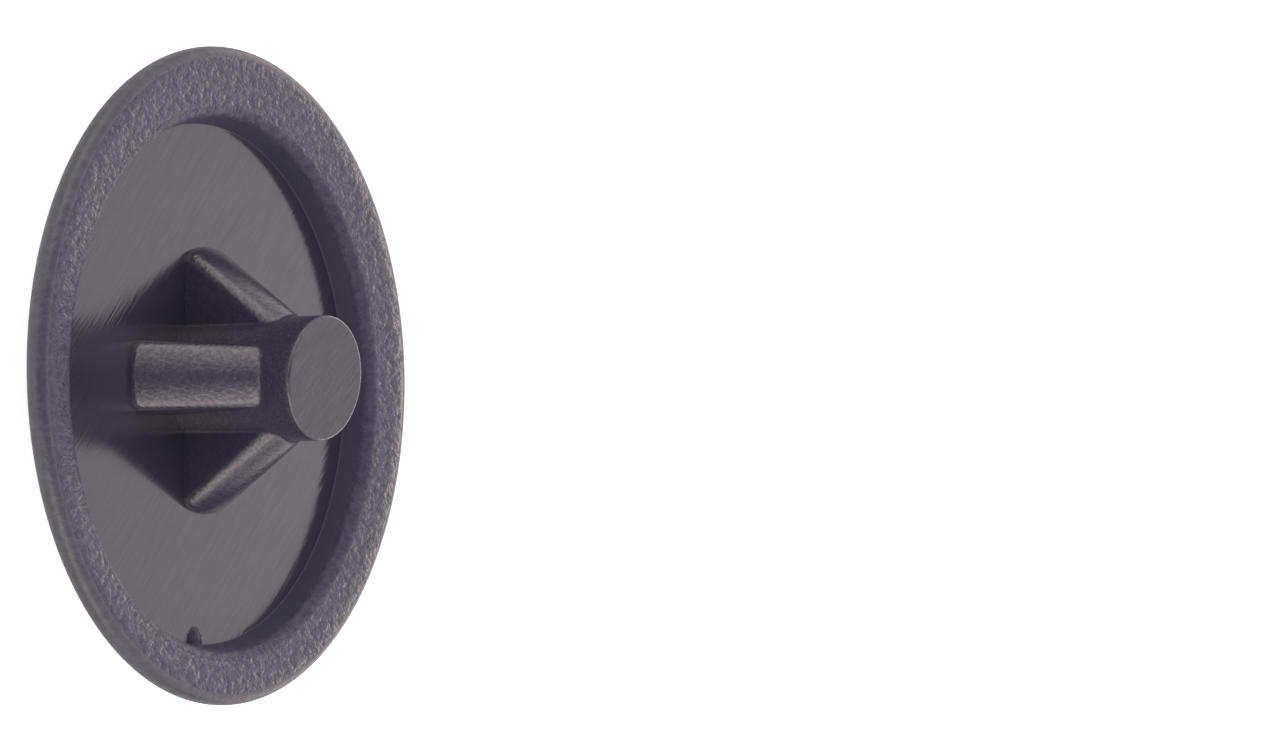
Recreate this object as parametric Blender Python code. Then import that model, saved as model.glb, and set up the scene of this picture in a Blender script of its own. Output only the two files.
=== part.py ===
"""Screw cover cap: a shallow domed cap, 12 mm across, with a ribbed plug that presses into a
screw head's cross recess. It is one moulded piece of plastic.

The cap lies on its crown, with the plug up. The origin is the crown's lowest point and Z runs up
along the head's axis. The ribs lie along X and Y.
"""

import math

import bmesh
import bpy

MM = 0.001

# Head: crown, edge and rim
HEAD_DIAMETER = 12.0 * MM
HEAD_HEIGHT = 1.85 * MM
CROWN_EDGE_RADIUS = 0.27 * MM
RIM_CORNER_RADIUS = 0.2 * MM

# Recess behind the head, whose axis lies a little off the head's axis. The rim's wall is
# measured at the recess floor, as it would be with both on one axis.
RIM_WALL = 1.25 * MM
RECESS_DEPTH = 0.52 * MM
RECESS_DRAFT = math.radians(15.5)
RECESS_MOUTH_RADIUS = 0.16 * MM
RECESS_OFFSET_X = -0.11 * MM
RECESS_OFFSET_Y = -0.15 * MM

# Pin, with its heights taken from the recess floor. The plug's axis has its own offset.
PIN_TIP_DIAMETER = 2.27 * MM
PIN_HEIGHT = 2.7 * MM
PIN_DRAFT = math.radians(0.5)
PIN_TIP_RADIUS = 0.05 * MM
PLUG_OFFSET_X = 0.08 * MM
PLUG_OFFSET_Y = -0.08 * MM

# Ribs round the pin, widest at the floor
RIB_COUNT = 4
RIB_SPAN = 4.76 * MM
RIB_WIDTH = 1.26 * MM
RIB_HEIGHT = 2.0 * MM
RIB_LAND_HEIGHT = 0.07 * MM
RIB_SHOULDER_RADIUS = 0.2 * MM
RIB_DRAFT = math.radians(3.0)
RIB_EDGE_RADIUS = 0.16 * MM

# Round nub on the recess floor, part of it in the wall. Its centre lies in from the wall's foot.
NUB_RADIUS = 0.26 * MM
NUB_HEIGHT = 0.1 * MM
NUB_TOP_RADIUS = 0.08 * MM
NUB_INSET = 0.06 * MM
NUB_ANGLE = math.radians(-91.2)

# How far a hidden end runs into what carries it
SINK = 0.1 * MM

# Facets round the circles, and along the arcs of the profiles
ROUND_SEGMENTS = 96
NUB_SEGMENTS = 32
CROWN_STEPS = 14
EDGE_STEPS = 5
CORNER_STEPS = 3
SHARP_ANGLE = math.radians(32)

PLASTIC_COLOR = (0.028, 0.027, 0.045, 1.0)
PLASTIC_ROUGHNESS = 0.45

FLOOR_Z = HEAD_HEIGHT - RECESS_DEPTH
FLOOR_RADIUS = HEAD_DIAMETER / 2 - RIM_WALL


def clear_scene():
    for item in list(bpy.data.objects):
        bpy.data.objects.remove(item, do_unlink=True)


def plastic():
    """Dark blue-grey moulded plastic."""
    material = bpy.data.materials.new("dark_blue_grey_plastic")
    material.use_nodes = True
    shader = material.node_tree.nodes["Principled BSDF"]
    shader.inputs["Base Color"].default_value = PLASTIC_COLOR
    shader.inputs["Roughness"].default_value = PLASTIC_ROUGHNESS
    shader.inputs["Metallic"].default_value = 0.0
    return material


def arc(center_r, center_z, radius, start, end, steps):
    """Points (r, z) on an arc of a profile, with both ends. Angles start at +r and turn towards +z."""
    points = []
    for step in range(steps + 1):
        angle = start + (end - start) * step / steps
        points.append((center_r + radius * math.cos(angle), center_z + radius * math.sin(angle)))
    return points


def crown_profile():
    """The crown's arc from the pole out, then the tighter arc of its edge up to the side.

    The two arcs meet on the line through both centres, so they share a tangent there.
    """
    edge_r = HEAD_DIAMETER / 2 - CROWN_EDGE_RADIUS
    edge_z = HEAD_HEIGHT - RIM_CORNER_RADIUS
    crown_radius = (edge_r**2 + edge_z**2 - CROWN_EDGE_RADIUS**2) / (2 * (edge_z - CROWN_EDGE_RADIUS))
    slope = math.asin(edge_r / (crown_radius - CROWN_EDGE_RADIUS))
    down = -math.pi / 2
    crown = arc(0, crown_radius, crown_radius, down, down + slope, CROWN_STEPS)
    edge = arc(edge_r, edge_z, CROWN_EDGE_RADIUS, down + slope, 0, EDGE_STEPS)
    return crown[1:] + edge[1:]


def rim_corner_profile():
    """The rounded outer corner of the rim, from the side to the flat."""
    corner_r = HEAD_DIAMETER / 2 - RIM_CORNER_RADIUS
    corner_z = HEAD_HEIGHT - RIM_CORNER_RADIUS
    return arc(corner_r, corner_z, RIM_CORNER_RADIUS, 0, math.pi / 2, CORNER_STEPS)[1:]


def recess_profile():
    """The recess from its rounded mouth down the drafted wall to the edge of its floor."""
    round_z = HEAD_HEIGHT - RECESS_MOUTH_RADIUS
    touch_z = round_z + RECESS_MOUTH_RADIUS * math.sin(RECESS_DRAFT)
    touch_r = FLOOR_RADIUS + (touch_z - FLOOR_Z) * math.tan(RECESS_DRAFT)
    round_r = touch_r + RECESS_MOUTH_RADIUS * math.cos(RECESS_DRAFT)
    mouth = arc(round_r, round_z, RECESS_MOUTH_RADIUS, math.pi / 2, math.pi - RECESS_DRAFT, CORNER_STEPS)
    return mouth + [(FLOOR_RADIUS, FLOOR_Z)]


def ring(mesh, radius, z, center=(0.0, 0.0), segments=ROUND_SEGMENTS):
    """A level ring of vertices at height z, round a center (x, y)."""
    vertices = []
    for step in range(segments):
        angle = 2 * math.pi * step / segments
        x = center[0] + radius * math.cos(angle)
        y = center[1] + radius * math.sin(angle)
        vertices.append(mesh.verts.new((x, y, z)))
    return vertices


def skin(mesh, rings):
    """Faces from each ring to the next."""
    for lower, upper in zip(rings, rings[1:]):
        count = len(lower)
        for step in range(count):
            following = (step + 1) % count
            mesh.faces.new((lower[step], lower[following], upper[following], upper[step]))


def finish_mesh(name, mesh):
    """Turns a bmesh into an object with its faces pointing out."""
    bmesh.ops.recalc_face_normals(mesh, faces=mesh.faces)
    data = bpy.data.meshes.new(name)
    mesh.to_mesh(data)
    mesh.free()
    body = bpy.data.objects.new(name, data)
    bpy.context.scene.collection.objects.link(body)
    return body


def make_head():
    """The crown, edge, rim and recess as one skin of rings, closed by the recess floor."""
    mesh = bmesh.new()
    outside = [ring(mesh, r, z) for r, z in crown_profile() + rim_corner_profile()]
    recess_center = (RECESS_OFFSET_X, RECESS_OFFSET_Y)
    recess = [ring(mesh, r, z, recess_center) for r, z in recess_profile()]
    skin(mesh, outside + recess)
    pole = mesh.verts.new((0, 0, 0))
    for step, vertex in enumerate(outside[0]):
        mesh.faces.new((pole, vertex, outside[0][(step + 1) % ROUND_SEGMENTS]))
    mesh.faces.new(recess[-1])
    return finish_mesh("cover_cap", mesh)


def make_turned(name, profile, segments=ROUND_SEGMENTS):
    """A solid of revolution about its own Z, with flat ends, from points (r, z) in order."""
    mesh = bmesh.new()
    rings = [ring(mesh, r, z, segments=segments) for r, z in profile]
    skin(mesh, rings)
    mesh.faces.new(rings[0])
    mesh.faces.new(rings[-1])
    return finish_mesh(name, mesh)


def pin_radius(height):
    """The pin's radius at a height above the recess floor."""
    return PIN_TIP_DIAMETER / 2 + (PIN_HEIGHT - height) * math.tan(PIN_DRAFT)


def make_pin():
    tip_z = PIN_HEIGHT - PIN_TIP_RADIUS
    tip_r = pin_radius(PIN_HEIGHT) - PIN_TIP_RADIUS
    tip = arc(tip_r, tip_z, PIN_TIP_RADIUS, 0, math.pi / 2, CORNER_STEPS)
    return make_turned("pin", [(pin_radius(-SINK), -SINK)] + tip)


def rib_profile():
    """Points (r, z) down the middle of a rib's end face: a short straight land, a rounded
    shoulder, and a straight slope that runs into the pin.
    """
    foot_r = RIB_SPAN / 2
    slope = math.atan2(foot_r - pin_radius(RIB_HEIGHT), RIB_HEIGHT - RIB_LAND_HEIGHT)
    setback = RIB_SHOULDER_RADIUS * math.tan(slope / 2)
    shoulder_r = foot_r - RIB_SHOULDER_RADIUS
    shoulder_z = RIB_LAND_HEIGHT - setback
    shoulder = arc(shoulder_r, shoulder_z, RIB_SHOULDER_RADIUS, 0, slope, CORNER_STEPS)
    hidden_end = (pin_radius(RIB_HEIGHT) - SINK, RIB_HEIGHT + SINK / math.tan(slope))
    return [(foot_r, -SINK)] + shoulder + [hidden_end]


def rib_outline(radius, half_width):
    """A rib's plan at one height, out along +X and back: its end lies on a circle round the
    plug's axis, and a fillet joins it to each side.
    """
    fillet_y = half_width - RIB_EDGE_RADIUS
    fillet_x = math.sqrt((radius - RIB_EDGE_RADIUS) ** 2 - fillet_y**2)
    reach = math.atan2(fillet_y, fillet_x)
    end = arc(0, 0, radius, 0, reach, CORNER_STEPS)
    fillet = arc(fillet_x, fillet_y, RIB_EDGE_RADIUS, reach, math.pi / 2, CORNER_STEPS)
    half = end + fillet[1:] + [(SINK, half_width)]
    other_half = [(x, -y) for x, y in reversed(half[1:])]
    return other_half + half


def make_rib(number):
    """One rib, lofted through its plans from below the floor to inside the pin."""
    mesh = bmesh.new()
    plans = []
    for radius, z in rib_profile():
        half_width = RIB_WIDTH / 2 - z * math.tan(RIB_DRAFT)
        plans.append([mesh.verts.new((x, y, z)) for x, y in rib_outline(radius, half_width)])
    skin(mesh, plans)
    mesh.faces.new(plans[0])
    mesh.faces.new(plans[-1])
    rib = finish_mesh(f"rib_{number + 1}", mesh)
    rib.rotation_euler.z = 2 * math.pi * number / RIB_COUNT
    return rib


def make_nub():
    """The nub, which stands on the recess floor and runs into the foot of its wall."""
    top_z = NUB_HEIGHT - NUB_TOP_RADIUS
    top = arc(NUB_RADIUS - NUB_TOP_RADIUS, top_z, NUB_TOP_RADIUS, 0, math.pi / 2, CORNER_STEPS)
    nub = make_turned("nub", [(NUB_RADIUS, -SINK)] + top, NUB_SEGMENTS)
    distance = FLOOR_RADIUS - NUB_INSET
    nub.location.x = distance * math.cos(NUB_ANGLE) + RECESS_OFFSET_X
    nub.location.y = distance * math.sin(NUB_ANGLE) + RECESS_OFFSET_Y
    nub.location.z = FLOOR_Z
    return nub


def fuse(body, piece):
    """Joins a piece to body with a Boolean, and keeps the loose piece out of the render."""
    modifier = body.modifiers.new(f"with_{piece.name}", "BOOLEAN")
    modifier.operation = "UNION"
    modifier.solver = "EXACT"
    modifier.object = piece
    piece.hide_render = True
    piece.display_type = "WIRE"


def place_on_floor(body):
    """Moves a piece of the plug from its own axis to the plug's axis on the recess floor."""
    body.location.x = PLUG_OFFSET_X
    body.location.y = PLUG_OFFSET_Y
    body.location.z = FLOOR_Z


def main():
    clear_scene()
    cap = make_head()
    cap.data.materials.append(plastic())
    plug = [make_pin()] + [make_rib(number) for number in range(RIB_COUNT)]
    for piece in plug:
        place_on_floor(piece)
    for piece in plug + [make_nub()]:
        fuse(cap, piece)
    cap.data.shade_smooth()
    cap.data.set_sharp_from_angle(angle=SHARP_ANGLE)


main()
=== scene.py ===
"""Looks of a screw cover cap: one moulded piece of dark blue-grey plastic that lies on its crown,
with its ribbed plug up. Lengths are in millimetres until a mesh or an object is made.
"""

import math

import bpy
import numpy as np
from mathutils import Matrix, Vector


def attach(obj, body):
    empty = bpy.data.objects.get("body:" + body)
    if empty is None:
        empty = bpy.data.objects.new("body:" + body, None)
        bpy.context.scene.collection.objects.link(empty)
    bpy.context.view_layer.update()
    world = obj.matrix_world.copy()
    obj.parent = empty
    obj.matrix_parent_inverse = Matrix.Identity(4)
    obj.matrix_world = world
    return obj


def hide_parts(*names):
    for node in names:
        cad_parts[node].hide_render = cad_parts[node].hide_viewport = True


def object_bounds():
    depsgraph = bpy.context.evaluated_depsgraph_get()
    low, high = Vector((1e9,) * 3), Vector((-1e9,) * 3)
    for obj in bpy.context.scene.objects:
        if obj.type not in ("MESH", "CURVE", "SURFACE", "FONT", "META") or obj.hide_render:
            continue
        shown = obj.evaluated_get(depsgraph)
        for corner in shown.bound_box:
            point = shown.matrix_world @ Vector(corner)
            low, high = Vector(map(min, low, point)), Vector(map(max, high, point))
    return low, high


MM = 0.001

# Head: crown, edge and rim
CROWN_EDGE_RADIUS = 0.27
RIM_CORNER_RADIUS = 0.2
HEAD_HEIGHT = 1.85

# Recess behind the head, whose axis lies a little off the head's axis
RIM_WALL = 1.25
RECESS_DEPTH = 0.52
RECESS_DRAFT = math.radians(15.5)
RECESS_MOUTH_RADIUS = 0.22
RECESS_FOOT_RADIUS = 0.02
RECESS_OFFSET = (-0.11, -0.15)

# Pin. Its heights and the ribs' are taken from the recess floor, and they share an axis.
PIN_TIP_DIAMETER = 2.27
PIN_DRAFT = math.radians(0.5)
PIN_TIP_RADIUS = 0.05
PLUG_OFFSET = (0.08, -0.08)

# Slant of the pin's tip: its rise for each millimetre towards +X and +Y, and how far its middle drops
TIP_SLOPE = (0.028, 0.085)
TIP_DROP = 0.045

# Ribs round the pin, widest at the floor: an upright land, a rounded shoulder and a long slope
RIB_SPAN = 4.76
RIB_WIDTH = 1.30
RIB_HEIGHT = 1.88
RIB_LAND_HEIGHT = 0.07
RIB_SHOULDER_RADIUS = 0.2
RIB_DRAFT = math.radians(2.2)
RIB_EDGE_RADIUS = 0.15
RIB_ROOT_RADIUS = 0.03

# Crown of a rib's end face, as its height in the middle of a rib 2 millimetres wide
RIB_CROWN = 0.12

# Round nub on the recess floor, part of it in the wall
NUB_RADIUS = 0.26
NUB_HEIGHT = 0.1
NUB_DOME_POWER = 2.1
NUB_INSET = 0.06
NUB_ANGLE = math.radians(-91.2)

# Columns round the skin of the cap, and how they crowd at bends and at the nub
COLUMNS = 512
BEND_CROWDING = 0.12
NUB_CROWDING = 0.6
NUB_CROWDING_REACH = 0.16
SHARP_ANGLE = math.radians(50)

# Search for the plug's outline, from a radius inside the pin to one outside the ribs
OUTLINE_SAMPLES = 400
SEARCH_START = 0.2
SEARCH_END = RIB_SPAN
SEARCH_STEPS = 40

# Steps from ring to ring in each band of the skin
CROWN_STEPS = 40
EDGE_STEPS = 14
CORNER_STEPS = 10
RIM_STEPS = 8
MOUTH_STEPS = 8
WALL_STEPS = 12
FOOT_STEPS = 6
NUB_STEPS = 17
FLOOR_STEPS = 11
RIB_FOOT_STEPS = 9
RIB_STEPS = 39
PIN_STEPS = 6
TIP_STEPS = 7
SHOULDER_STEPS = 24

# Ends of bands: how far past the nub, as a factor, how high at the ribs' feet and over the ribs
NUB_MARGIN = 1.1
RIB_FOOT_BAND = 0.25
ROUND_PIN_HEIGHT = RIB_HEIGHT + 0.15

# Rings on the tip's face, as shares of its radius
TIP_SHARES = (0.92, 0.75, 0.5, 0.3, 0.1)

# Base colours, and how much paler the raised grains are. The wall, plug and floor colours are painted
# lighter than the rest of the one plastic, to lift their shade; the grains' darker hollows are partly
# painted shade in the pits.
PLASTIC = (0.021, 0.020, 0.038, 1)
RIM_PLASTIC = (0.020, 0.020, 0.046, 1)
PLUG_PLASTIC_PAINTED_LIGHTER = (0.029, 0.027, 0.044, 1)
WALL_PLASTIC_PAINTED_LIGHTER = (0.036, 0.034, 0.064, 1)
FLOOR_PLASTIC_PAINTED_LIGHTER = (0.026, 0.025, 0.040, 1)
GRAIN_TONE_AND_PIT_SHADE = 1.25

# Index of refraction, and the specular levels of each finish's hollows and grains; the hollows' lower level
# is painted shade in the pits
PLASTIC_IOR = 1.55
PLUG_IOR = 1.7
GRAIN_SHEEN = (0.44, 0.68)
EDGE_SHEEN = (0.72, 0.9)
WALL_SHEEN = (0.25, 0.45)
PLUG_SHEEN = (0.42, 0.72)
NUB_SHEEN = (0.12, 0.25)
FLOOR_SHEEN = (0.8, 1.0)
TIP_SHEEN = (0.6, 0.8)

# Grain: noise settings, and the ranges of its value over which sheen and tint change. The hollows come out
# darker and duller, partly grain tone and partly painted shade.
NOISE_DETAIL = 2.0
NOISE_ROUGHNESS = 0.6
GRAIN_STRETCH = (1.5, 1.0, 1.0)
GRAIN_SHEEN_RANGE = (0.33, 0.67)
GRAIN_TINT_RANGE = (0.35, 0.7)

# The wall's grain starts this far above the floor, and is full so much higher
WALL_GRAIN_START = 0.2
WALL_GRAIN_RISE = 0.3

# Polishing strokes: size, direction, and what they do to the roughness
STROKES_PER_MM = 20.0
STROKE_STRETCH = (16.0, 1.0, 1.0)
STROKE_TURN = math.radians(45)
STROKE_RANGE = (0.3, 0.7)
STROKE_ROUGHNESS = (0.8, 1.25)

# Painted sheen: the floor's shine rises from -X to +X, over this reach in millimetres and by these factors
PAINTED_SHINE_REACH = (-4, 4)
PAINTED_SHINE_RISE = (0.84, 1.14)

# Bend of the flat faces, in slope per millimetre, and how far in from the outline the rim rolls off
DISH_BEND = 0.004
ROLL_BEND = 0.55
ROLL_WIDTH = 0.5

# The photograph's view: image size in pixels, its scale, and where the rim's centre lies in it
IMAGE_WIDTH = 1279
IMAGE_HEIGHT = 746
PIXELS_PER_MM = 54.95
RIM_CENTER_PIXEL = (225.7, 375.6)
VIEW_TILT = math.radians(56.2)
VIEW_TURN = math.radians(3.2)
VIEW_ROLL = math.radians(1.31)

# How far the camera stands off, in metres
CAMERA_DISTANCE = 0.3

# Light: colours, and the strengths of the tent, its low far part and its dark parts
LAMP_COLOR = (1.0, 0.82, 0.68)
TENT_COLOR = (1, 0.93, 0.97, 1)
SHADE_COLOR = (0.75, 0.7, 1, 1)
WHITE = (1, 1, 1, 1)
TENT_STRENGTH = 1.2
LOW_STRENGTH = 1.05
SHADE_STRENGTH = 0.2

# Parts of the tent: azimuth and elevation in degrees, and the cosines at which each starts and is full
FAR_LOW = (0, -20)
FAR_LOW_LIMITS = (0.48, 0.72)
OVERHEAD = (180, 52)
OVERHEAD_LIMITS = (0.3, 0.95)
CARDS = ((-38, -5.71), (38, -5.71))
CARD_LIMITS = (0.8657, 0.9552)

# The overhead strip's fade to the sides, in the Y of a direction
STRIP_SIDES = (0.1, 0.42)

# Sheet under the cap: width in metres, colour and glow, and the painted shade by which its glow in
# reflections drops towards the sides
SHEET_WIDTH = 3.0
SHEET_COLOR = (0.8, 0.8, 0.8, 1)
SHEET_GLOW = 0.8
SHEET_SIDES = (3, 7)
SHEET_PAINTED_SIDE_SHADE = (-0.25, -0.65)

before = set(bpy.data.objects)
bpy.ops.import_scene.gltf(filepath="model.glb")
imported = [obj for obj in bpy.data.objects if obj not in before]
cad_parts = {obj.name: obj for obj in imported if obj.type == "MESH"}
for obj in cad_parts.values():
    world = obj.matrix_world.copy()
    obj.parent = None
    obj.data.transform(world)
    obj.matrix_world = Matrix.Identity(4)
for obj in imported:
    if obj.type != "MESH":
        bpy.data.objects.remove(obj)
cad_low, cad_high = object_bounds()

HEAD_RADIUS = (cad_high.x - cad_low.x) / MM / 2
FLOOR_Z = HEAD_HEIGHT - RECESS_DEPTH
FLOOR_RADIUS = HEAD_RADIUS - RIM_WALL
FLOOR_EDGE_RADIUS = FLOOR_RADIUS - RECESS_FOOT_RADIUS * math.tan((math.pi / 2 - RECESS_DRAFT) / 2)
PIN_HEIGHT = cad_high.z / MM - FLOOR_Z
PIN_SIDE_HEIGHT = PIN_HEIGHT - PIN_TIP_RADIUS


def arc(center_r, center_z, radius, start, end, steps):
    """Points (r, z) on an arc of a profile, with both ends. Angles start at +r and turn towards +z."""
    angles = np.linspace(start, end, steps + 1)
    return np.column_stack((center_r + radius * np.cos(angles), center_z + radius * np.sin(angles)))


def stepped(first, last, steps):
    """Even steps from one value to another, without the first value."""
    return np.linspace(first, last, steps + 1)[1:]


def between(first, last, shares):
    """Points or rings on the way from one to another."""
    return [first + (last - first) * share for share in shares]


def column_angles():
    """The columns' directions, evenly spaced but for a crowd of them at the nub."""
    even = 2 * math.pi * np.arange(COLUMNS) / COLUMNS
    away = (even - NUB_ANGLE + math.pi) % (2 * math.pi) - math.pi
    return even - NUB_CROWDING * away * np.exp(-((away / NUB_CROWDING_REACH) ** 2))


def circle(radius, z, center=(0, 0)):
    """A round level ring of columns."""
    angles = column_angles()
    x = center[0] + radius * np.cos(angles)
    y = center[1] + radius * np.sin(angles)
    return np.column_stack((x, y, np.full(COLUMNS, z)))


def round_union(a, b, radius):
    """Distance to two joined shapes with a fillet of that radius between them."""
    near_a = np.maximum(radius - a, 0)
    near_b = np.maximum(radius - b, 0)
    return np.maximum(radius, np.minimum(a, b)) - np.hypot(near_a, near_b)


def round_overlap(a, b, radius):
    """Distance to what two shapes share, with its edge rounded to that radius."""
    near_a = np.maximum(radius + a, 0)
    near_b = np.maximum(radius + b, 0)
    return np.minimum(-radius, np.maximum(a, b)) + np.hypot(near_a, near_b)


def pin_radius(height):
    return PIN_TIP_DIAMETER / 2 + (PIN_HEIGHT - height) * math.tan(PIN_DRAFT)


RIB_FOOT = RIB_SPAN / 2
RIB_SLOPE = math.atan2(RIB_FOOT - pin_radius(RIB_HEIGHT), RIB_HEIGHT - RIB_LAND_HEIGHT)


def rib_reach(height):
    """How far a rib's end face lies from the plug's axis: land, rounded shoulder, slope."""
    center_r = RIB_FOOT - RIB_SHOULDER_RADIUS
    center_z = RIB_LAND_HEIGHT - RIB_SHOULDER_RADIUS * math.tan(RIB_SLOPE / 2)
    shoulder = arc(center_r, center_z, RIB_SHOULDER_RADIUS, 0, RIB_SLOPE, SHOULDER_STEPS)
    if height <= shoulder[0, 1]:
        return RIB_FOOT
    if height < shoulder[-1, 1]:
        return float(np.interp(height, shoulder[:, 1], shoulder[:, 0]))
    return pin_radius(RIB_HEIGHT) + (RIB_HEIGHT - height) * math.tan(RIB_SLOPE)


def plug_distance(x, y, height):
    """Distance outside the plug's outline at one height, for points from +X round to the diagonal."""
    from_axis = np.hypot(x, y)
    pin = from_axis - pin_radius(height)
    half_width = RIB_WIDTH / 2 - height * math.tan(RIB_DRAFT)
    crown = RIB_CROWN * (half_width**2 - np.square(y))
    end = (from_axis - crown - rib_reach(height)) * math.cos(RIB_SLOPE)
    side = y - half_width
    rib = round_overlap(end, side, RIB_EDGE_RADIUS)
    return round_union(pin, rib, RIB_ROOT_RADIUS)


def plug_outline(height):
    """Points on the plug's outline from +X round to the diagonal, each found by halving a search."""
    angles = np.linspace(0, math.pi / 4, OUTLINE_SAMPLES)
    inner = np.full(OUTLINE_SAMPLES, SEARCH_START)
    outer = np.full(OUTLINE_SAMPLES, SEARCH_END)
    for _ in range(SEARCH_STEPS):
        middle = (inner + outer) / 2
        inside = plug_distance(middle * np.cos(angles), middle * np.sin(angles), height) < 0
        inner = np.where(inside, middle, inner)
        outer = np.where(inside, outer, middle)
    return np.column_stack((inner * np.cos(angles), inner * np.sin(angles)))


def plug_ring(height):
    """The ring of columns round the plug at a height above the floor, closer together at its bends."""
    points = plug_outline(height)
    steps = np.diff(points, axis=0)
    heading = np.unwrap(np.arctan2(steps[:, 1], steps[:, 0]))
    bend = np.abs(np.gradient(heading))
    length = np.hypot(steps[:, 0], steps[:, 1])
    measure = np.concatenate(([0], np.cumsum(length + BEND_CROWDING * bend)))
    wanted = np.linspace(0, measure[-1], COLUMNS // 8 + 1)
    octant = np.column_stack([np.interp(wanted, measure, points[:, axis]) for axis in (0, 1)])
    quarters = [np.concatenate((octant[:-1], octant[:0:-1, ::-1]))]
    for _ in range(3):
        last = quarters[-1]
        quarters.append(np.column_stack((-last[:, 1], last[:, 0])))
    ring = np.concatenate(quarters) + PLUG_OFFSET
    return np.column_stack((ring, np.full(COLUMNS, FLOOR_Z + height)))


def scaled_ring(ring, share, height):
    """The ring drawn in towards the plug's axis, at a height above the floor."""
    axis = np.array(PLUG_OFFSET)
    flat = axis + (ring[:, :2] - axis) * share
    return np.column_stack((flat, np.full(COLUMNS, FLOOR_Z + height)))


def slanted(ring):
    """Tilts the pin above the ribs, as its tip is not quite level: it falls towards -X and -Y."""
    start = FLOOR_Z + ROUND_PIN_HEIGHT
    share = np.clip((ring[:, 2] - start) / (FLOOR_Z + PIN_SIDE_HEIGHT - start), 0, 1)
    tilted = ring.copy()
    tilted[:, 2] += share * ((ring[:, :2] - PLUG_OFFSET) @ TIP_SLOPE - TIP_DROP)
    return tilted


def from_nub(points):
    """How far points lie from the nub's axis, as a share of its radius."""
    distance = FLOOR_RADIUS - NUB_INSET
    center_x = distance * math.cos(NUB_ANGLE) + RECESS_OFFSET[0]
    center_y = distance * math.sin(NUB_ANGLE) + RECESS_OFFSET[1]
    return np.hypot(points[:, 0] - center_x, points[:, 1] - center_y) / NUB_RADIUS


def raise_nub(ring):
    """Lifts the part of a ring that lies on the nub to the nub's domed top."""
    away = from_nub(ring)
    dome = NUB_HEIGHT * (1 - np.clip(away, 0, 1) ** NUB_DOME_POWER)
    raised = np.where(away < 1, FLOOR_Z + dome, 0)
    lifted = ring.copy()
    lifted[:, 2] = np.maximum(ring[:, 2], raised)
    return lifted


def crown_arcs():
    """The crown's arc from near the pole out, and the tighter arc of its edge up to the side."""
    edge_r = HEAD_RADIUS - CROWN_EDGE_RADIUS
    edge_z = HEAD_HEIGHT - RIM_CORNER_RADIUS
    crown_radius = (edge_r**2 + edge_z**2 - CROWN_EDGE_RADIUS**2) / (2 * (edge_z - CROWN_EDGE_RADIUS))
    slope = math.asin(edge_r / (crown_radius - CROWN_EDGE_RADIUS))
    down = -math.pi / 2
    crown = arc(0, crown_radius, crown_radius, down, down + slope, CROWN_STEPS)
    edge = arc(edge_r, edge_z, CROWN_EDGE_RADIUS, down + slope, 0, EDGE_STEPS)
    return crown[1:], edge[1:]


def head_bands():
    """Rings from the crown's pole over the edge to the rim, as (finish, rings)."""
    crown, edge = crown_arcs()
    corner_r = HEAD_RADIUS - RIM_CORNER_RADIUS
    corner_z = HEAD_HEIGHT - RIM_CORNER_RADIUS
    corner = arc(corner_r, corner_z, RIM_CORNER_RADIUS, 0, math.pi / 2, CORNER_STEPS)[1:]
    return [
        ("crown", [circle(r, z) for r, z in crown]),
        ("edge", [circle(r, z) for r, z in np.concatenate((edge, corner))]),
    ]


def recess_bands(rim_outer):
    """Rings from the rim's outer edge in over the mouth and down the wall to the floor's edge."""
    mouth_z = HEAD_HEIGHT - RECESS_MOUTH_RADIUS
    touch_z = mouth_z + RECESS_MOUTH_RADIUS * math.sin(RECESS_DRAFT)
    touch_r = FLOOR_RADIUS + (touch_z - FLOOR_Z) * math.tan(RECESS_DRAFT)
    mouth_r = touch_r + RECESS_MOUTH_RADIUS * math.cos(RECESS_DRAFT)
    mouth = arc(mouth_r, mouth_z, RECESS_MOUTH_RADIUS, math.pi / 2, math.pi - RECESS_DRAFT, MOUTH_STEPS)
    foot_z = FLOOR_Z + RECESS_FOOT_RADIUS
    foot = arc(FLOOR_EDGE_RADIUS, foot_z, RECESS_FOOT_RADIUS, -RECESS_DRAFT, -math.pi / 2, FOOT_STEPS)
    wall = between(mouth[-1], foot[0], stepped(0, 1, WALL_STEPS)[:-1])
    rim_inner = circle(mouth[0, 0], mouth[0, 1], RECESS_OFFSET)
    rim = between(rim_outer, rim_inner, stepped(0, 1, RIM_STEPS))
    down = [circle(r, z, RECESS_OFFSET) for r, z in (*mouth[1:], *wall, *foot)]
    return [("rim", rim), ("wall", [raise_nub(ring) for ring in down])]


def plug_bands():
    """Rings from the floor's edge in to the plug, up its sides and over the pin's tip."""
    floor_edge = circle(FLOOR_EDGE_RADIUS, FLOOR_Z, RECESS_OFFSET)
    foot = plug_ring(0)
    past_nub = (NUB_RADIUS + NUB_INSET) * NUB_MARGIN / (FLOOR_EDGE_RADIUS - RIB_FOOT)
    shares = (*stepped(0, past_nub, NUB_STEPS), *stepped(past_nub, 1, FLOOR_STEPS)[:-1])
    floor = [raise_nub(ring) for ring in between(floor_edge, foot, shares)] + [foot]
    heights = (
        *stepped(0, RIB_FOOT_BAND, RIB_FOOT_STEPS),
        *stepped(RIB_FOOT_BAND, ROUND_PIN_HEIGHT, RIB_STEPS),
        *stepped(ROUND_PIN_HEIGHT, PIN_SIDE_HEIGHT, PIN_STEPS),
    )
    sides = [slanted(plug_ring(height)) for height in heights]
    top = plug_ring(PIN_SIDE_HEIGHT)
    top_radius = pin_radius(PIN_SIDE_HEIGHT)
    corner_r = pin_radius(PIN_HEIGHT) - PIN_TIP_RADIUS
    corner = arc(corner_r, PIN_SIDE_HEIGHT, PIN_TIP_RADIUS, 0, math.pi / 2, TIP_STEPS)[1:]
    sides += [slanted(scaled_ring(top, r / top_radius, height)) for r, height in corner]
    tip = [slanted(scaled_ring(top, share, PIN_HEIGHT)) for share in TIP_SHARES]
    return [("floor", floor), ("plug", sides), ("tip", tip)]


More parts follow.
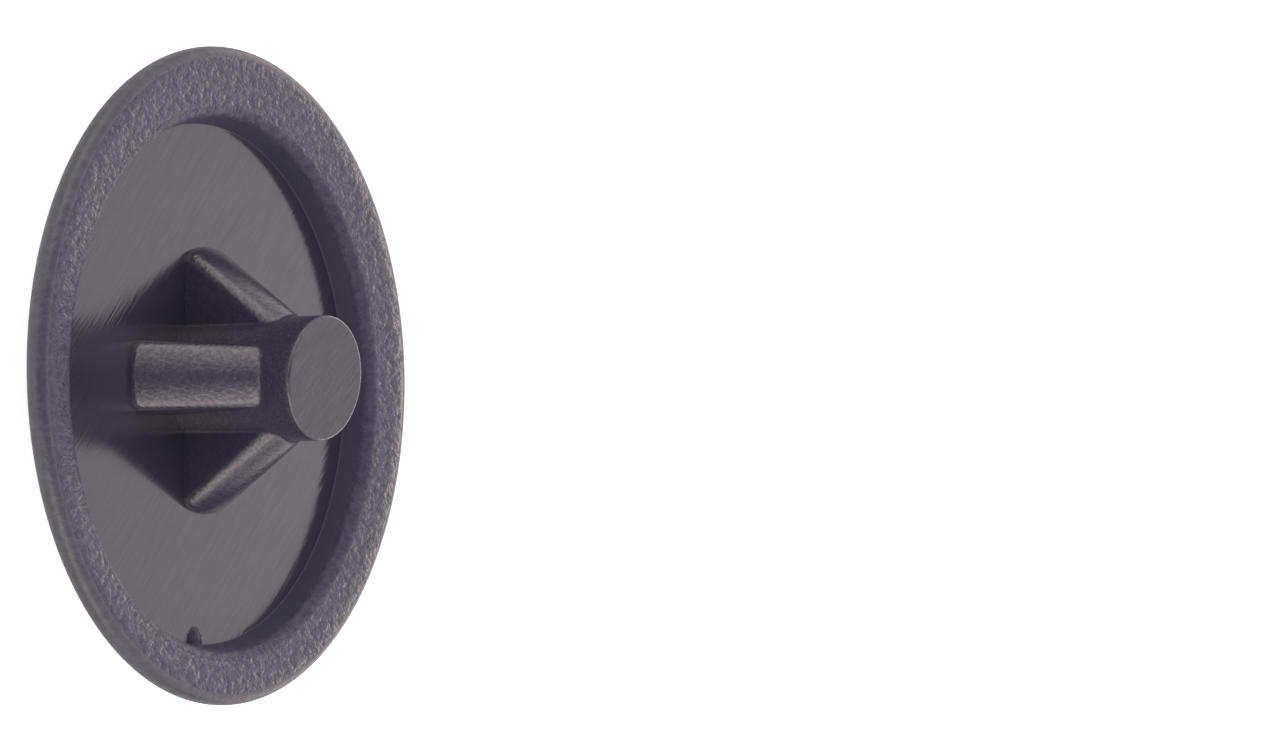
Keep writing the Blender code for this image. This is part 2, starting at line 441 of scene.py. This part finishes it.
def skin_faces(ring_count):
    """Quads from ring to ring, then a fan to the crown's pole and one to the tip's middle. Those two
    points follow the rings' own.
    """
    following = np.roll(np.arange(COLUMNS), -1)
    faces = []
    for low in range(0, (ring_count - 1) * COLUMNS, COLUMNS):
        high = low + COLUMNS
        for column, after in enumerate(following):
            faces.append((low + column, low + after, high + after, high + column))
    pole = ring_count * COLUMNS
    last = pole - COLUMNS
    for column, after in enumerate(following):
        faces.append((pole, after, column))
        faces.append((pole + 1, last + column, last + after))
    return faces


def face_finishes(ring_finish, points):
    """The finish of each of skin_faces' faces. A floor face that starts on the nub has the nub's."""
    on_nub = from_nub(points) < 1
    names = []
    for number, finish in enumerate(ring_finish[1:]):
        start = number * COLUMNS
        for raised in on_nub[start : start + COLUMNS]:
            names.append("nub" if raised and finish == "floor" else finish)
    return names + [ring_finish[0], ring_finish[-1]] * COLUMNS


def new_object(name, data):
    made = bpy.data.objects.new(name, data)
    bpy.context.scene.collection.objects.link(made)
    return made


def make_cap(finishes):
    """The whole cap as one closed skin of rings, with a finish for each band of them."""
    bands = head_bands()
    rim_outer = bands[-1][1][-1]
    bands += recess_bands(rim_outer) + plug_bands()
    rings = []
    ring_finish = []
    for name, band in bands:
        rings += band
        ring_finish += [name] * len(band)
    poles = np.array(((0, 0, 0), rings[-1].mean(axis=0)))
    points = np.concatenate(rings + [poles])
    mesh = bpy.data.meshes.new("cover_cap_skin")
    mesh.from_pydata((points * MM).tolist(), [], skin_faces(len(rings)))
    for material in finishes.values():
        mesh.materials.append(material)
    order = list(finishes)
    slots = [order.index(name) for name in face_finishes(ring_finish, points)]
    mesh.polygons.foreach_set("material_index", slots)
    mesh.update()
    mesh.shade_smooth()
    mesh.set_sharp_from_angle(angle=SHARP_ANGLE)
    cap = new_object("cap", mesh)
    normals = cap.modifiers.new("even_normals", "WEIGHTED_NORMAL")
    normals.keep_sharp = True
    return cap


class Nodes:
    """The nodes of a material or the world. An input is filled with a value or another's output."""

    def __init__(self, tree):
        self.tree = tree

    def add(self, kind, values=None, **settings):
        node = self.tree.nodes.new(kind)
        for name, value in settings.items():
            setattr(node, name, value)
        self.fill(node, values or {})
        return node

    def fill(self, node, values):
        for name, value in values.items():
            if isinstance(value, bpy.types.NodeSocket):
                self.tree.links.new(value, node.inputs[name])
            else:
                node.inputs[name].default_value = value


class MaterialNodes(Nodes):
    """A new material and its nodes, with its shader's inputs filled."""

    def __init__(self, name, values):
        self.material = bpy.data.materials.new(name)
        self.material.use_nodes = True
        super().__init__(self.material.node_tree)
        self.shader = self.tree.nodes["Principled BSDF"]
        self.fill(self.shader, values)


def arithmetic(nodes, operation, *values):
    """One sum on values that are each a number or an output."""
    return nodes.add("ShaderNodeMath", dict(enumerate(values)), operation=operation).outputs[0]


def vectors(nodes, operation, values):
    """The outputs of one sum on vectors."""
    return nodes.add("ShaderNodeVectorMath", values, operation=operation).outputs


def spread(nodes, value, before, after):
    """Maps a value's range to another, held at both ends."""
    limits = {"From Min": before[0], "From Max": before[1], "To Min": after[0], "To Max": after[1]}
    return nodes.add("ShaderNodeMapRange", {"Value": value, **limits}).outputs["Result"]


def coordinate(nodes, place, axis):
    return nodes.add("ShaderNodeSeparateXYZ", {0: place}).outputs[axis]


def sideways(nodes, place):
    """The size of a point's or a direction's Y."""
    return arithmetic(nodes, "ABSOLUTE", coordinate(nodes, place, "Y"))


def millimetres(nodes):
    """The surface point in millimetres, in its object's own frame."""
    place = nodes.add("ShaderNodeTexCoord").outputs["Object"]
    return vectors(nodes, "SCALE", {0: place, "Scale": 1 / MM})[0]


def noise(nodes, place, scale, stretch, turn=0.0):
    """A noise value whose grains are about 1 / scale millimetres, drawn out by stretch."""
    mapping = {"Vector": place, "Rotation": (0, 0, turn), "Scale": stretch}
    turned = nodes.add("ShaderNodeMapping", mapping, vector_type="TEXTURE").outputs["Vector"]
    texture = {"Vector": turned, "Scale": scale, "Detail": NOISE_DETAIL, "Roughness": NOISE_ROUGHNESS}
    return nodes.add("ShaderNodeTexNoise", texture).outputs["Fac"]


def bump(nodes, height, depth, below=None):
    """Turns a height into a bumped normal. A height of 1 is as many millimetres as the depth."""
    values = {"Strength": 1.0, "Distance": depth * MM, "Height": height}
    if below is not None:
        values["Normal"] = below
    return nodes.add("ShaderNodeBump", values).outputs["Normal"]


def dished(nodes, place):
    """The normal of a flat face that sinks towards the cap's axis and rolls off at its outer edge."""
    level = vectors(nodes, "MULTIPLY", {0: place, 1: (1, 1, 0)})[0]
    away = vectors(nodes, "LENGTH", {0: level})["Value"]
    past = arithmetic(nodes, "SUBTRACT", away, HEAD_RADIUS - ROLL_WIDTH)
    past = arithmetic(nodes, "MAXIMUM", past, 0.0)
    sunk = arithmetic(nodes, "MULTIPLY", arithmetic(nodes, "POWER", away, 2.0), DISH_BEND / 2)
    rolled = arithmetic(nodes, "MULTIPLY", arithmetic(nodes, "POWER", past, 2.0), ROLL_BEND / 2)
    return bump(nodes, arithmetic(nodes, "SUBTRACT", sunk, rolled), 1.0)


def color_between(nodes, share, first, second):
    """A mix of two colours, whose inputs on the node follow those for numbers and vectors."""
    colors = {0: share, 6: first, 7: second}
    return nodes.add("ShaderNodeMix", colors, data_type="RGBA").outputs[2]


def plastic(name, base, roughness, ior=PLASTIC_IOR):
    values = {"Base Color": base, "Specular IOR Level": 1.0, "Roughness": roughness, "IOR": ior}
    return MaterialNodes(name, values)


def grained(
    name, base, roughness, scale, depth, sheen=GRAIN_SHEEN, ior=PLASTIC_IOR, flat=False, fading=False
):
    """Plastic with the fine even grain of a spark-eroded mould, which may fade out at the floor. Its
    hollows are darker and duller, partly painted shade in the pits.
    """
    nodes = plastic(name, base, roughness, ior)
    place = millimetres(nodes)
    grain = noise(nodes, place, scale, GRAIN_STRETCH)
    if fading:
        start = FLOOR_Z + WALL_GRAIN_START
        share = spread(nodes, coordinate(nodes, place, "Z"), (start, start + WALL_GRAIN_RISE), (0, 1))
        grain = arithmetic(nodes, "MULTIPLY_ADD", arithmetic(nodes, "SUBTRACT", grain, 0.5), share, 0.5)
    # Raised grains paler, hollows darker: grain tone and painted shade in the pits
    pale = tuple(value * GRAIN_TONE_AND_PIT_SHADE for value in base[:3]) + (1,)
    values = {
        "Base Color": color_between(nodes, spread(nodes, grain, GRAIN_TINT_RANGE, (0, 1)), base, pale),
        "Specular IOR Level": spread(nodes, grain, GRAIN_SHEEN_RANGE, sheen),
        "Normal": bump(nodes, grain, depth, dished(nodes, place) if flat else None),
    }
    nodes.fill(nodes.shader, values)
    return nodes.material


def streaked(name, base, roughness, depth, sheen, flat=False):
    """Plastic from a mould face that was polished in straight strokes. A flat one gets a painted sheen that
    rises towards +X.
    """
    nodes = plastic(name, base, roughness)
    place = millimetres(nodes)
    strokes = noise(nodes, place, STROKES_PER_MM, STROKE_STRETCH, STROKE_TURN)
    shine = spread(nodes, strokes, STROKE_RANGE, sheen)
    if flat:
        # Painted sheen: the flat floor's shine rises towards +X
        rise = spread(nodes, coordinate(nodes, place, "X"), PAINTED_SHINE_REACH, PAINTED_SHINE_RISE)
        shine = arithmetic(nodes, "MULTIPLY", shine, rise)
    limits = [roughness * factor for factor in STROKE_ROUGHNESS]
    values = {
        "Roughness": spread(nodes, strokes, STROKE_RANGE, limits),
        "Specular IOR Level": shine,
        "Normal": bump(nodes, strokes, depth, dished(nodes, place) if flat else None),
    }
    nodes.fill(nodes.shader, values)
    return nodes.material


def make_finishes():
    """The skin's materials, by the names of its bands. A scale is in grains per millimetre."""
    return {
        "crown": grained("crown_grain", RIM_PLASTIC, roughness=0.3, scale=7.5, depth=0.05),
        "edge": grained("soft_edge", PLASTIC, roughness=0.42, scale=7.5, depth=0.015, sheen=EDGE_SHEEN),
        "rim": grained("rim_grain", RIM_PLASTIC, roughness=0.32, scale=7.0, depth=0.037, flat=True),
        # The wall's, floor's and plug's base colours are painted lighter to lift their shade.
        "wall": grained(
            "recess_wall", WALL_PLASTIC_PAINTED_LIGHTER, roughness=0.5, scale=7.5, depth=0.04, sheen=WALL_SHEEN, fading=True
        ),
        "floor": streaked(
            "polished_floor", FLOOR_PLASTIC_PAINTED_LIGHTER, roughness=0.13, depth=0.003, sheen=FLOOR_SHEEN, flat=True
        ),
        "plug": grained(
            "plug_satin", PLUG_PLASTIC_PAINTED_LIGHTER, roughness=0.25, scale=15.0, depth=0.007,
            sheen=PLUG_SHEEN, ior=PLUG_IOR,
        ),
        "nub": grained("dull_nub", PLASTIC, roughness=0.45, scale=7.5, depth=0.02, sheen=NUB_SHEEN),
        "tip": streaked("pin_tip", PLASTIC, roughness=0.26, depth=0.003, sheen=TIP_SHEEN),
    }


def view_axes():
    """Image right, image up and the way to the camera, in the cap's frame."""
    across = Vector((math.cos(VIEW_TURN), math.sin(VIEW_TURN), 0))
    along = Vector((-math.sin(VIEW_TURN), math.cos(VIEW_TURN), 0))
    up = Vector((0, 0, 1))
    tilted = across * math.cos(VIEW_TILT) + up * math.sin(VIEW_TILT)
    right = tilted * math.cos(VIEW_ROLL) - along * math.sin(VIEW_ROLL)
    image_up = tilted * math.sin(VIEW_ROLL) + along * math.cos(VIEW_ROLL)
    return right, image_up, right.cross(image_up)


def make_camera():
    """A camera without perspective, with the rim's centre where the photograph has it."""
    right, image_up, back = view_axes()
    aside = (IMAGE_WIDTH / 2 - RIM_CENTER_PIXEL[0]) / PIXELS_PER_MM
    above = (RIM_CENTER_PIXEL[1] - IMAGE_HEIGHT / 2) / PIXELS_PER_MM
    target = (Vector((0, 0, HEAD_HEIGHT)) + right * aside + image_up * above) * MM
    data = bpy.data.cameras.new("camera")
    data.type = "ORTHO"
    data.ortho_scale = IMAGE_WIDTH / PIXELS_PER_MM * MM
    data.clip_start = 0.001
    data.clip_end = 5.0
    camera = new_object("camera", data)
    rotation = Matrix((right, image_up, back)).transposed().to_4x4()
    camera.matrix_world = Matrix.Translation(target + back * CAMERA_DISTANCE) @ rotation
    bpy.context.scene.camera = camera


def direction(azimuth, elevation):
    """The way out from the cap, for angles in degrees. Azimuth 0 is +X, and 90 is +Y."""
    a = math.radians(azimuth)
    e = math.radians(elevation)
    return Vector((math.cos(a) * math.cos(e), math.sin(a) * math.cos(e), math.sin(e)))


def soft_box(name, azimuth, elevation, distance, width, height, radiance):
    """A rectangular lamp that faces the cap, with its lengths in metres."""
    data = bpy.data.lights.new(name, "AREA")
    data.shape = "RECTANGLE"
    data.size = width
    data.size_y = height
    data.color = LAMP_COLOR
    data.energy = radiance * math.pi * width * height
    way = direction(azimuth, elevation)
    lamp = new_object(name, data)
    lamp.location = way * distance
    lamp.rotation_mode = "QUATERNION"
    lamp.rotation_quaternion = way.to_track_quat("Z", "Y")
    lamp.visible_camera = False


def make_lamps():
    """A low box close by on the far side, and a larger one on either side of the camera."""
    soft_box("far_box", azimuth=3, elevation=2, distance=0.09, width=0.14, height=0.052, radiance=2.4)
    larger = {"distance": 0.25, "width": 0.27, "height": 0.165}
    soft_box("box_y_plus", azimuth=114, elevation=17, radiance=0.9, **larger)
    soft_box("box_y_minus", azimuth=240, elevation=18, radiance=1.35, **larger)


def background(nodes, color, strength):
    return nodes.add("ShaderNodeBackground", {"Color": color, "Strength": strength}).outputs[0]


def blend(nodes, share, first, second):
    return nodes.add("ShaderNodeMixShader", {0: share, 1: first, 2: second}).outputs[0]


def towards(nodes, angles, limits):
    """0 away from a direction and 1 near it. The limits are cosines of the angle from it."""
    place = nodes.add("ShaderNodeTexCoord").outputs["Generated"]
    cosine = vectors(nodes, "DOT_PRODUCT", {0: place, 1: direction(*angles)})["Value"]
    return spread(nodes, cosine, limits, (0, 1))


def make_world():
    """A pale tent, a little darker low on the far side, with a dark strip overhead and a dark card
    low on either side behind the cap. The camera sees plain white instead.
    """
    world = bpy.data.worlds.new("tent")
    world.use_nodes = True
    world.node_tree.nodes.clear()
    nodes = Nodes(world.node_tree)
    tent = background(nodes, TENT_COLOR, TENT_STRENGTH)
    low = background(nodes, TENT_COLOR, LOW_STRENGTH)
    shade = background(nodes, SHADE_COLOR, SHADE_STRENGTH)
    white = background(nodes, WHITE, 1.0)
    room = blend(nodes, towards(nodes, FAR_LOW, FAR_LOW_LIMITS), tent, low)
    place = nodes.add("ShaderNodeTexCoord").outputs["Generated"]
    strip = spread(nodes, sideways(nodes, place), STRIP_SIDES, (1, 0))
    overhead = arithmetic(nodes, "MULTIPLY", strip, towards(nodes, OVERHEAD, OVERHEAD_LIMITS))
    room = blend(nodes, overhead, room, shade)
    for card in CARDS:
        room = blend(nodes, towards(nodes, card, CARD_LIMITS), room, shade)
    path = nodes.add("ShaderNodeLightPath").outputs
    nodes.add("ShaderNodeOutputWorld", {"Surface": blend(nodes, path["Is Camera Ray"], room, white)})
    bpy.context.scene.world = world


def sheet_material():
    """White to the camera and in reflections, with the cap's soft shadow kept on it. Reflections see it
    dimmer, most of all out to the sides, where painted shade dims its glow.
    """
    plain = {"Base Color": SHEET_COLOR, "Roughness": 1.0, "Specular IOR Level": 0.0}
    nodes = MaterialNodes("white_floor", plain)
    path = nodes.add("ShaderNodeLightPath").outputs
    # Painted shade: the glow that reflections see is dimmer, more so towards the sides
    painted_side_shade = spread(nodes, sideways(nodes, millimetres(nodes)), SHEET_SIDES, SHEET_PAINTED_SIDE_SHADE)
    strength = arithmetic(nodes, "MULTIPLY_ADD", painted_side_shade, path["Is Glossy Ray"], SHEET_GLOW)
    glow = nodes.add("ShaderNodeEmission", {"Strength": strength}).outputs[0]
    sheet = nodes.shader.outputs[0]
    lit = nodes.add("ShaderNodeAddShader", {0: sheet, 1: glow}).outputs[0]
    seen = arithmetic(nodes, "MAXIMUM", path["Is Camera Ray"], path["Is Glossy Ray"])
    seen = arithmetic(nodes, "MAXIMUM", seen, path["Is Transmission Ray"])
    nodes.fill(nodes.tree.nodes["Material Output"], {"Surface": blend(nodes, seen, sheet, lit)})
    return nodes.material


def make_floor():
    """A wide square sheet for the cap to lie on."""
    half = SHEET_WIDTH / 2
    mesh = bpy.data.meshes.new("floor")
    corners = [(-half, -half, 0), (half, -half, 0), (half, half, 0), (-half, half, 0)]
    mesh.from_pydata(corners, [], [(0, 1, 2, 3)])
    mesh.materials.append(sheet_material())
    floor = new_object("floor", mesh)


def main():
    bpy.context.scene.view_settings.view_transform = "Standard"
    cap = make_cap(make_finishes())
    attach(cap, "root")
    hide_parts("cover_cap")
    make_floor()
    make_world()
    make_lamps()
    make_camera()


main()
